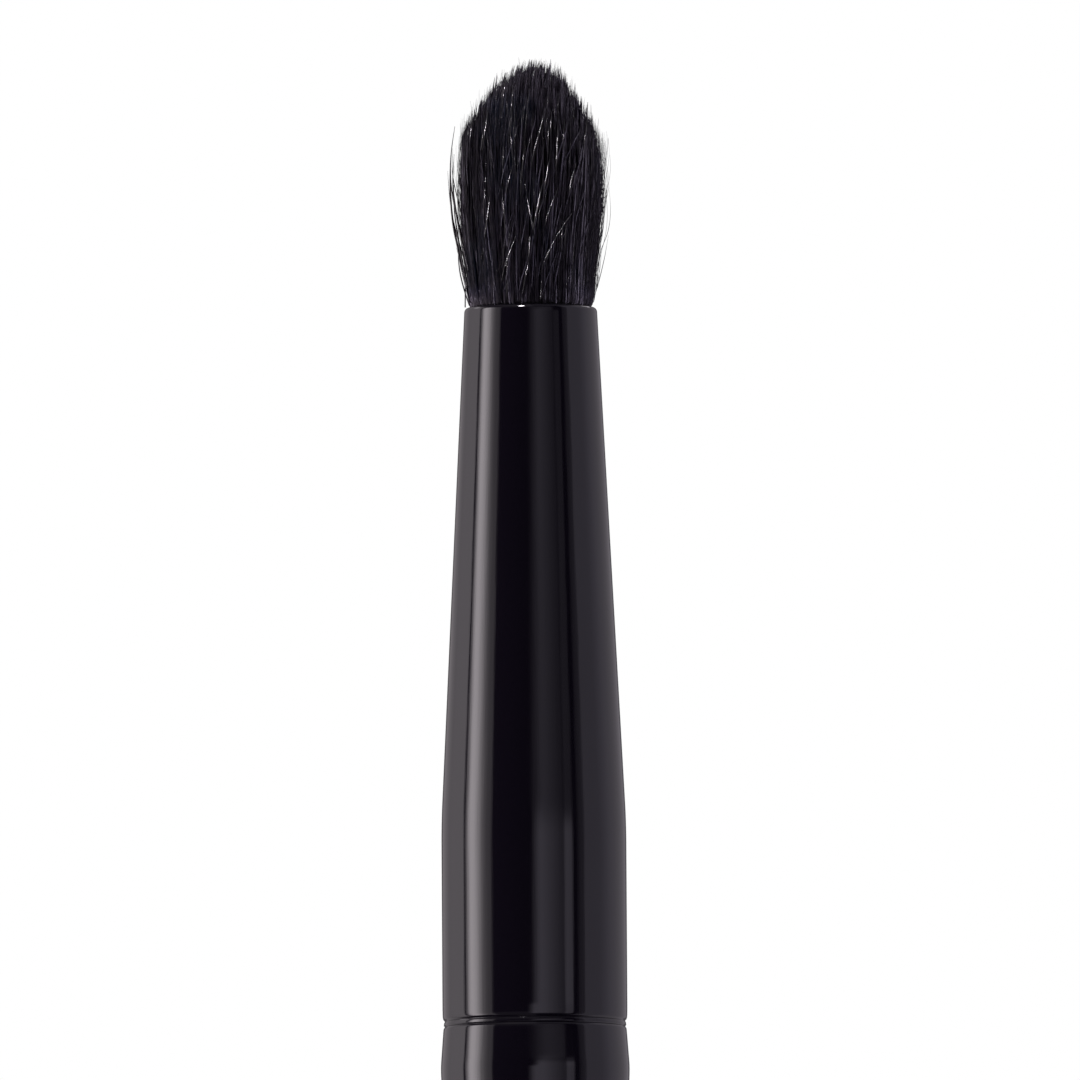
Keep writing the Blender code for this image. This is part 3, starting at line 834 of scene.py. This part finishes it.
def stray_hairs(random, name, table, shade, material, clear=0.03):
    """Hairs whose listed stretches stand just clear of the tuft's front; the rest of each one is down among the others."""
    paths, thickness = [], []

    def front(x, z):
        """How far towards the front the tuft's surface stands, at a place across and up it."""
        local = x - float(lean(np.array(z)))
        return math.sqrt(max(wall(z) ** 2 - local**2, 0.04))

    for (x0, z0), (x1, z1), size in table:
        aside = (x1 - x0) / (z1 - z0)
        tall = z1 - z0
        back = 0.156 - 0.306 * aside  # the hair leans back by this much for each mm up
        low_out = max(front(x0, z0) + clear, front(x1, z1) + clear + back * tall)
        high_out = low_out - back * tall
        below = 1.2 + random.uniform(0, 0.9)
        low_x, low_z = x0 - aside * below * 0.6 + random.normal(0, 0.04), max(z0 - below, -0.3)
        near_x, near_z = x0 - aside * 0.3, max(z0 - 0.4, -0.1)
        near_out = min(front(near_x, near_z) + clear, low_out + 0.03)
        if near_z < 0.1:
            near_out = min(near_out, math.sqrt(2.60**2 - near_x**2))  # inside the mouth
        points = [
            (low_x, -(front(low_x, low_z) - 0.25), low_z),
            (near_x, -near_out, near_z),
            (x0, -low_out, z0),
            ((x0 + x1) / 2, -(low_out + high_out) / 2, (z0 + z1) / 2),
            (x1, -high_out, z1),
        ]
        if z1 < 7.9:
            above = 1.0 + random.uniform(0, 0.8)
            far_x, far_z = x1 + aside * above * 0.6 + random.normal(0, 0.04), z1 + above
            next_x, next_z = x1 + aside * 0.45, z1 + 0.45
            points += [(next_x, -(front(next_x, next_z) - 0.03), next_z), (far_x, -(front(far_x, far_z) - 0.25), far_z)]
        else:
            points += [(x1 + aside * 0.2, -high_out + 0.05, z1 + 0.2), (x1 + aside * 0.35 + random.normal(0, 0.03), -high_out + 0.14, z1 + 0.42)]
        paths.append(through(points, 30))
        thickness.append(size)
    paths = np.array(paths)
    s = np.linspace(0, 1, 30)[None, :].repeat(len(paths), 0)
    radii = np.array(thickness)[:, None] * (1 - 0.6 * np.clip((s - 0.7) / 0.3, 0, 1))
    return strand_mesh(name, paths, radii, np.full(len(paths), shade), 6, material, spans(paths[..., 2], s))


# Flyaways that leave the tuft's sides and back, as points (across, depth, height), then the hair's radius
FLYAWAYS = [
    ([(-2.76, -0.6, 0.2), (-2.92, -0.5, 0.9), (-3.12, -0.3, 1.8), (-3.30, -0.2, 2.8), (-3.48, -0.1, 3.7), (-3.60, 0.0, 4.9), (-3.62, 0.0, 6.2), (-3.56, 0.0, 7.2), (-3.40, 0.0, 8.3)], 0.048),
    ([(-2.80, 0.1, 1.2), (-3.06, 0.1, 2.4), (-3.40, 0.2, 3.6), (-3.62, 0.3, 4.8), (-3.74, 0.4, 6.3)], 0.028),
    ([(-2.80, -0.9, 1.6), (-3.06, -0.7, 2.8), (-3.34, -0.5, 4.2), (-3.50, -0.4, 5.6), (-3.44, -0.3, 7.0)], 0.044),
    ([(-2.72, 0.2, 0.1), (-2.84, 0.2, 0.6), (-3.12, 0.3, 1.86), (-3.36, 0.3, 2.8)], 0.026),
    ([(-2.78, -0.3, 0.1), (-2.95, -0.3, 0.6), (-3.18, -0.2, 1.5), (-3.27, -0.2, 2.3), (-3.22, -0.1, 3.4)], 0.030),
    ([(-2.9, -0.4, 2.6), (-3.34, -0.3, 4.2), (-3.58, -0.3, 5.6), (-3.60, -0.3, 6.8)], 0.036),
    ([(-2.85, -0.7, 0.9), (-3.06, -0.6, 1.9), (-3.28, -0.5, 3.2), (-3.44, -0.4, 4.4), (-3.46, -0.3, 5.6)], 0.040),
    ([(-2.95, -0.2, 3.6), (-3.30, -0.2, 5.0), (-3.52, -0.1, 6.2), (-3.50, 0.0, 7.3)], 0.022),
    ([(2.78, -0.4, 0.2), (3.00, -0.4, 0.8), (3.36, -0.3, 2.2), (3.56, -0.3, 3.3)], 0.016),
    ([(2.95, 0.1, 1.2), (3.18, 0.1, 2.5), (3.54, 0.1, 3.5), (3.66, 0.1, 4.4), (3.60, 0.1, 5.5)], 0.012),
    ([(3.0, -0.6, 2.0), (3.30, -0.5, 4.0), (3.50, -0.4, 5.4), (3.52, -0.4, 6.4)], 0.010),
    ([(2.85, 0.9, 1.0), (3.10, 1.0, 2.6), (3.30, 1.0, 4.4), (3.30, 1.0, 6.2)], 0.016),
    ([(0.6, 2.8, 1.0), (1.0, 3.05, 2.6), (1.5, 3.25, 4.2), (1.8, 3.25, 5.8)], 0.018),
    ([(-1.2, 2.7, 0.8), (-1.5, 3.0, 2.4), (-1.6, 3.35, 4.0), (-1.5, 3.45, 5.6)], 0.018),
    ([(-2.2, 2.0, 1.0), (-2.5, 2.3, 2.8), (-2.75, 2.4, 4.6), (-2.7, 2.45, 6.2)], 0.016),
]


def flyaway_hairs(material):
    paths = np.array([through(points, 30) for points, _ in FLYAWAYS])
    s = np.linspace(0, 1, 30)[None, :].repeat(len(paths), 0)
    thickness = np.array([size for _, size in FLYAWAYS])
    radii = thickness[:, None] * (1 - 0.8 * np.clip((s - 0.45) / 0.55, 0, 1) ** 1.2)
    return strand_mesh("hair_flyaways", paths, radii, np.full(len(paths), 6), 6, material, spans(paths[..., 2], s))


def core(material):
    """The dark inside of the bundle, a turned form a little under the outer hairs: painted shade that stands for the
    shade deep among the hairs.
    """
    heights = np.linspace(REACH - 1.1, BELLY - 0.6, 22)
    outline = [(0.0, LIP_Z + REACH - 1.1)]
    for z in heights[1:]:
        t = np.clip((z + 0.75 - BELLY) / (REACH - BELLY), 0, 1)
        outline.append((max(BELLY_HAIR_R * (1 - t**DOME_IN) ** DOME_OUT - 0.40, 0.2), LIP_Z + z))
    for z in np.linspace(BELLY - 1.0, 0.4, 16):
        outline.append((float(shell([z])[0]) - 0.42, LIP_Z + z))
    # a narrow dark collar, painted shade, fills the gap between the hair and the mouth's inner edge
    outline += [(2.72, LIP_Z + 0.045), (2.745, LIP_Z + 0.025), (2.748, LIP_Z - 0.015), (2.73, LIP_Z - 0.07), (2.50, LIP_Z - 0.3), (2.50, LIP_Z - 3.0), (2.52, LIP_Z - 4.2), (2.15, LIP_Z - 6.7), (2.15, LIP_Z - 8.2), (2.42, LIP_Z - 9.9), (0.0, LIP_Z - 9.9)]
    return lathe("hair_inner_mass", outline, False, 96, [material])


# ------------------------------------------------------------------------------------------------ stage


def make_world():
    """Soft studio surroundings: a white backdrop behind, tall diffuse panels at both sides, and a low softbox in front.

    The camera itself sees plain white. Azimuth 0 is where the camera stands, positive to its right, in degrees.
    """
    world = bpy.data.worlds.new("studio")
    bpy.context.scene.world = world
    world.use_nodes = True
    tree = world.node_tree
    tree.nodes.clear()
    g = Graph(tree)
    place = g.node("ShaderNodeTexCoord")
    parts = g.node("ShaderNodeSeparateXYZ")
    g.put(place.outputs["Generated"], parts.inputs[0])
    x, y, z = parts.outputs
    azimuth = g.math("DEGREES", g.math("ARCTAN2", x, g.math("MULTIPLY", y, -1.0)))
    elevation = g.math("ADD", g.math("DEGREES", g.math("ARCSINE", z)), -1.0)

    def between(start, soft_start, end, soft_end, value=azimuth):
        """1 from start to end, fading over its own width at each."""
        up = g.rise(value, start - soft_start / 2, start + soft_start / 2)
        down = g.rise(value, end - soft_end / 2, end + soft_end / 2, 1.0, 0.0)
        return g.math("MULTIPLY", up, down)

    def tall(low, high, soft=14.0):
        return between(low, soft, high, soft, elevation)

    # left: a wide flank that brightens towards the key strip, a thin gap, the strip, and its spill
    flank_light = g.math("ADD", g.line(azimuth, -180.0, -132.0, 0.31, 0.575), g.line(azimuth, -132.0, -101.0, 0.0, 0.73))
    flank = g.product([between(-162.0, 6.0, -99.2, 3.0), flank_light, tall(-37.0, 36.0)])
    key = g.product([g.rise(azimuth, -98.0, -85.5), g.rise(azimuth, -84.0, -60.0, 5.2, 0.0), tall(-33.0, 26.0)])
    spill = g.product([between(-66.0, 10.0, -54.6, 4.0), tall(-44.0, 26.0), g.line(azimuth, -62.0, -56.0, 0.68, 0.60)])
    # front: a low softbox with a bright edge; both fade upwards and their corners are rounded
    climb = g.rise(elevation, 5.0, 9.0)
    down = g.rise(elevation, 0.5, 2.2, 1.0, 0.0)
    left_start = g.total([g.math("MULTIPLY", climb, -3.3), g.math("MULTIPLY", down, -5.3), -4.8])
    left_end = g.total([g.math("MULTIPLY", climb, 6.9), g.math("MULTIPLY", down, -7.1), 8.6])
    low_top = g.product([g.rise(elevation, 9.3, 10.6, 1.0, 0.0), g.line(elevation, 3.6, 7.2, 1.0, 0.58), g.rise(elevation, -38.0, -15.0)])
    front = g.product([g.rise(azimuth, left_start, left_end), g.rise(azimuth, 35.6, 38.8, 1.0, 0.0), g.line(azimuth, 10.0, 34.0, 0.71, 0.25), low_top])
    edge = g.product([between(38.4, 5.0, 49.4, 3.0), g.line(azimuth, 42.0, 48.0, 0.66, 0.58), low_top, g.rise(elevation, 8.60, 9.20, 1.0, 0.1), g.rise(elevation, 0.5, 2.2, 0.86, 1.0), g.rise(elevation, 3.9, 6.4, 1.0, 0.50)])
    # a dim soft glow above the softbox, which shows only on slopes that face a little upwards
    glow = g.product(
        [
            g.rise(azimuth, -12.0, 16.0),
            g.rise(azimuth, 34.0, 42.0, 1.0, 0.0),
            g.line(azimuth, 20.0, 34.0, 0.25, 0.18),
            g.rise(elevation, 9.0, 10.4),
            g.rise(elevation, 24.0, 38.0, 1.0, 0.0),
        ]
    )
    # the gap between the key strip and the softbox is open to a dim room above and below
    room = g.product([between(-62.0, 8.0, 4.0, 12.0), g.rise(g.math("ABSOLUTE", g.math("SUBTRACT", elevation, 3.0)), 6.5, 18.0, 0.0, 0.09)])
    # right: a dim gap, then a wide flank
    dim = g.product([between(56.3, 4.0, 65.8, 3.0), g.line(azimuth, 57.0, 64.0, 0.11, 0.20), tall(-64.0, 42.0)])
    wall_light = g.total(
        [g.line(azimuth, 69.0, 90.0, 0.48, 0.43), g.line(azimuth, 90.0, 107.0, 0.0, 0.085), g.line(azimuth, 112.0, 160.0, 0.0, -0.16)]
    )
    flank_right = g.product([between(65.9, 3.4, 162.0, 6.0), wall_light, tall(-56.0, 48.0)])
    around = g.math("ABSOLUTE", azimuth)
    back = g.product([g.rise(around, 160.0, 166.0, 0.0, 0.13), tall(-60.0, 74.0)])
    top = g.rise(elevation, 28.0, 62.0, 0.0, 0.18)
    light = g.total([flank, key, spill, front, edge, glow, room, dim, flank_right, back, top])
    colour = g.node("ShaderNodeCombineColor")
    g.put(g.math("MULTIPLY", light, 1.08), colour.inputs[0])
    g.put(light, colour.inputs[1])
    blue = g.math("ADD", g.line(azimuth, -60.0, 0.0, 1.045, 1.20), g.line(azimuth, 100.0, 130.0, 0.0, -0.09))
    g.put(g.math("MULTIPLY", light, blue), colour.inputs[2])
    lit = g.node("ShaderNodeBackground")
    g.put(colour.outputs[0], lit.inputs["Color"])
    seen = g.node("ShaderNodeBackground")
    seen.inputs["Color"].default_value = (1, 1, 1, 1)
    seen.inputs["Strength"].default_value = 1.0
    path = g.node("ShaderNodeLightPath")
    mix = g.node("ShaderNodeMixShader")
    g.put(path.outputs["Is Camera Ray"], mix.inputs[0])
    g.put(lit.outputs[0], mix.inputs[1])
    g.put(seen.outputs[0], mix.inputs[2])
    out = g.node("ShaderNodeOutputWorld")
    g.put(mix.outputs[0], out.inputs["Surface"])
    world.cycles.sampling_method = "MANUAL"
    world.cycles.sample_map_resolution = 2048


def panel_light(name, azimuth, elevation, distance, width, height, radiance, target, receivers, beam=180.0, soft=False):
    """A light panel aimed at a point on the brush, for its receivers only. Unless it is soft, it gives highlights alone."""
    data = bpy.data.lights.new(name, "AREA")
    data.shape = "RECTANGLE"
    data.size, data.size_y = width, height
    half = math.radians(min(beam, 179.9) / 2)
    narrow = math.tan(half) / (math.tan(half) - half)  # a narrow beam puts the same power into fewer directions
    data.energy = radiance * math.pi * width * height / narrow
    data.spread = math.radians(beam)
    data.color = (1.0, 0.94, 1.0)
    obj = bpy.data.objects.new(name, data)
    bpy.context.scene.collection.objects.link(obj)
    a, e = math.radians(azimuth), math.radians(elevation)
    away = Vector((math.sin(a) * math.cos(e), -math.cos(a) * math.cos(e), math.sin(e)))
    obj.location = Vector(target) + away * distance
    obj.rotation_mode = "QUATERNION"
    obj.rotation_quaternion = away.to_track_quat("Z", "Y")
    obj.visible_camera = False
    obj.visible_diffuse = soft
    group = bpy.data.collections.new(name + "_receivers")
    for receiver in receivers:
        group.objects.link(receiver)
    obj.light_linking.receiver_collection = group
    return obj


def make_floor():
    """A plain pale floor round the brush, which fades into the white surroundings."""
    mesh = bpy.data.meshes.new("floor")
    side = 3.0
    mesh.from_pydata([(-side, -side, 0), (side, -side, 0), (side, side, 0), (-side, side, 0)], [], [(0, 1, 2, 3)])
    obj = bpy.data.objects.new("floor", mesh)
    obj.location.z = -0.00002
    bpy.context.scene.collection.objects.link(obj)
    material = bpy.data.materials.new("pale_floor")
    material.use_nodes = True
    tree = material.node_tree
    tree.nodes.clear()
    g = Graph(tree)
    place = g.node("ShaderNodeTexCoord")
    length = g.node("ShaderNodeVectorMath", operation="LENGTH")
    g.put(place.outputs["Object"], length.inputs[0])
    far = g.rise(length.outputs["Value"], 0.12, 0.85)
    matte = g.node("ShaderNodeBsdfDiffuse")
    matte.inputs["Color"].default_value = (0.62, 0.62, 0.62, 1)
    glow = g.node("ShaderNodeEmission")
    glow.inputs["Color"].default_value = (1, 1, 1, 1)
    path = g.node("ShaderNodeLightPath")
    g.put(g.math("MULTIPLY", path.outputs["Is Camera Ray"], 0.66), glow.inputs["Strength"])
    both = g.node("ShaderNodeAddShader")
    g.put(matte.outputs[0], both.inputs[0])
    g.put(glow.outputs[0], both.inputs[1])
    clear = g.node("ShaderNodeBsdfTransparent")
    mix = g.node("ShaderNodeMixShader")
    g.put(far, mix.inputs[0])
    g.put(both.outputs[0], mix.inputs[1])
    g.put(clear.outputs[0], mix.inputs[2])
    out = g.node("ShaderNodeOutputMaterial")
    g.put(mix.outputs[0], out.inputs["Surface"])
    mesh.materials.append(material)
    obj.visible_glossy = False
    return obj


def make_camera():
    """The photograph's view: a long lens a little below the head of the brush, looking slightly up."""
    data = bpy.data.cameras.new("photo_camera")
    obj = bpy.data.objects.new("photo_camera", data)
    bpy.context.scene.collection.objects.link(obj)
    aim = Vector((0.00036, 0.0, 0.146625))
    distance, rise = 2.0, math.radians(4.0)
    obj.location = aim + Vector((0.0, -distance * math.cos(rise), -distance * math.sin(rise)))
    away = obj.location - aim
    frame_width = 1080 / 22.0 * MM
    data.sensor_width = 36.0
    data.lens = 36.0 * away.length / frame_width
    data.clip_start, data.clip_end = 0.05, 20.0
    obj.rotation_mode = "QUATERNION"
    roll = Matrix.Rotation(math.radians(-0.35), 3, "Z")
    obj.rotation_quaternion = (away.to_track_quat("Z", "Y").to_matrix() @ roll).to_quaternion()
    bpy.context.scene.camera = obj
    return obj


# ------------------------------------------------------------------------------------------------ build


def main():
    make_camera()
    random = np.random.default_rng(20240611)

    black = (0.0094, 0.0074, 0.0135)
    ferrule_black = lacquer("black_lacquer_ferrule", black, 0.07, (5200.0, 5200.0, 160.0), 0.10)
    handle_black = lacquer("black_lacquer_handle", black, 0.07, (3800.0, 3800.0, 120.0), 0.12)
    hair = hair_material("black_soft_hair", 0.30, 0.31, (0.88, 0.79, 0.98))
    glossy = hair_material("black_glossy_hair", 0.20, 1.0, (0.86, 0.79, 1.0))
    dull = hair_material("black_dull_hair", 0.42, 0.02, (0.76, 0.74, 1.0))
    sleek = hair_material("black_sleek_hair", 0.15, 0.6, (1.0, 0.97, 1.0))

    outline, bore = ferrule_outline()
    last = len(outline) - 7  # the lip's inner rounding is lacquered again
    ferrule = lathe("ferrule_lacquered", outline, True, 256, [ferrule_black, bare_metal()], lambda i: 1 if bore <= i < last else 0)
    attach(ferrule, WORLD_BODY)
    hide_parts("ferrule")

    outline, start = handle_outline()
    handle = lathe("handle_lacquered", outline, False, 256, [handle_black, bare_wood()], lambda i: 0 if i >= start else 1)
    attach(handle, WORLD_BODY)
    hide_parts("handle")

    inner = core(core_material())
    listed = [(low, high, size * 1.1) for low, high, size in STRAYS]
    strays = stray_hairs(random, "hair_strays", listed, 3, sleek, clear=0.09)
    glints = scattered(random, 34, (-0.75, 0.95), (6.2, 9.6), (0.05, 0.10), (0.08, 0.32), (0.013, 0.020))
    glints += scattered(random, 14, (-0.9, 0.95), (0.8, 6.2), (0.10, 0.14), (0.10, 0.45), (0.013, 0.020))
    glints = stray_hairs(random, "hair_glints", glints, 3, sleek)
    crossing = scattered(random, 28, (-0.5, 0.86), (0.8, 7.0), (0.22, 0.12), (0.4, 1.2), (0.022, 0.034))
    crossing = stray_hairs(random, "hair_crossing", crossing, 26, glossy)
    tuft = [inner, *main_bundle(random, hair, glossy, dull)]
    tuft.append(loose_hairs(random, "hair_loose_soft", 190, 26, hair, (0.026, 0.044), (0.93, 0.985), 0.15, (0.06, 0.18), (4.0, 11.0), bias=0.06))
    tuft.append(loose_hairs(random, "hair_loose_gloss", 130, 26, glossy, (0.026, 0.044), (0.93, 0.985), 0.15, (0.06, 0.18), (4.0, 11.0), bias=0.10))
    tuft.append(loose_hairs(random, "hair_down", 300, 24, hair, (0.008, 0.014), (0.985, 1.0), 0.22, (0.02, 0.22), (4.5, 9.8), end=0.3))
    tuft.append(dome_fuzz(random, "hair_tip_fuzz", 1100, hair))
    tuft.append(loose_hairs(random, "hair_fringe", 130, 22, hair, (0.006, 0.010), (1.0, 1.045), 0.08, (0.06, 0.34), (5.0, 9.5), end=0.4, around=(-0.45, 0.6)))
    tuft.append(loose_hairs(random, "hair_fringe_round", 200, 22, hair, (0.006, 0.010), (1.0, 1.03), 0.12, (0.04, 0.24), (5.0, 9.5), end=0.4, around=(0.6, math.tau - 0.45)))
    flyaways = flyaway_hairs(sleek)
    tuft += [strays, glints, crossing, flyaways]
    for piece in tuft:
        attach(piece, WORLD_BODY)
        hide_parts("hair_tuft")

    for node, material in (
        ("tuft_binding_thread", thread_material()),
        ("tuft_glue_plug", glue_material("amber_epoxy", (0.30, 0.15, 0.045), (0.50, 0.30, 0.11), 0.22)),
        ("tenon_glue_sleeve", glue_material("milky_wood_adhesive", (0.58, 0.53, 0.42), (0.76, 0.72, 0.61), 0.45)),
    ):
        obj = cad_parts[node]
        obj.data.materials.clear()
        obj.data.materials.append(material)

    make_world()
    make_floor()
    head = (0.0, 0.0, LIP_Z * MM)
    middle = (0.0, 0.0, (LIP_Z + 5.5) * MM)
    panel_light("lip_spark", -20.0, 49.0, 0.12, 0.0168, 0.0220, 250.0, head, [ferrule], beam=14.0)
    streak = panel_light("lip_streak", 151.0, 33.0, 0.30, 0.12, 0.07, 1.25, head, [ferrule])
    rim = panel_light("lip_rim", -123.0, 30.0, 0.30, 0.08, 0.06, 1.5, head, [ferrule])
    for light in (streak, rim):
        light.light_linking.blocker_collection = light.light_linking.receiver_collection
    panel_light("hair_spark", -34.0, 20.0, 0.5, 0.06, 0.06, 250.0, middle, [strays])
    panel_light("glint_spark", -34.0, 20.0, 0.5, 0.06, 0.06, 42.0, middle, [glints, flyaways])
    panel_light("hair_fill", 46.0, 12.0, 0.5, 0.24, 0.32, 0.84, middle, tuft)
    panel_light("hair_crown", 12.0, 68.0, 0.5, 0.30, 0.24, 1.1, middle, tuft)
    panel_light("hair_side", 98.0, 8.0, 0.5, 0.34, 0.34, 1.35, middle, tuft)

    scene = bpy.context.scene
    scene.view_settings.view_transform = "Standard"
    scene.view_settings.look = "None"
    scene.view_settings.exposure = 0.0
    scene.view_settings.gamma = 1.0


main()
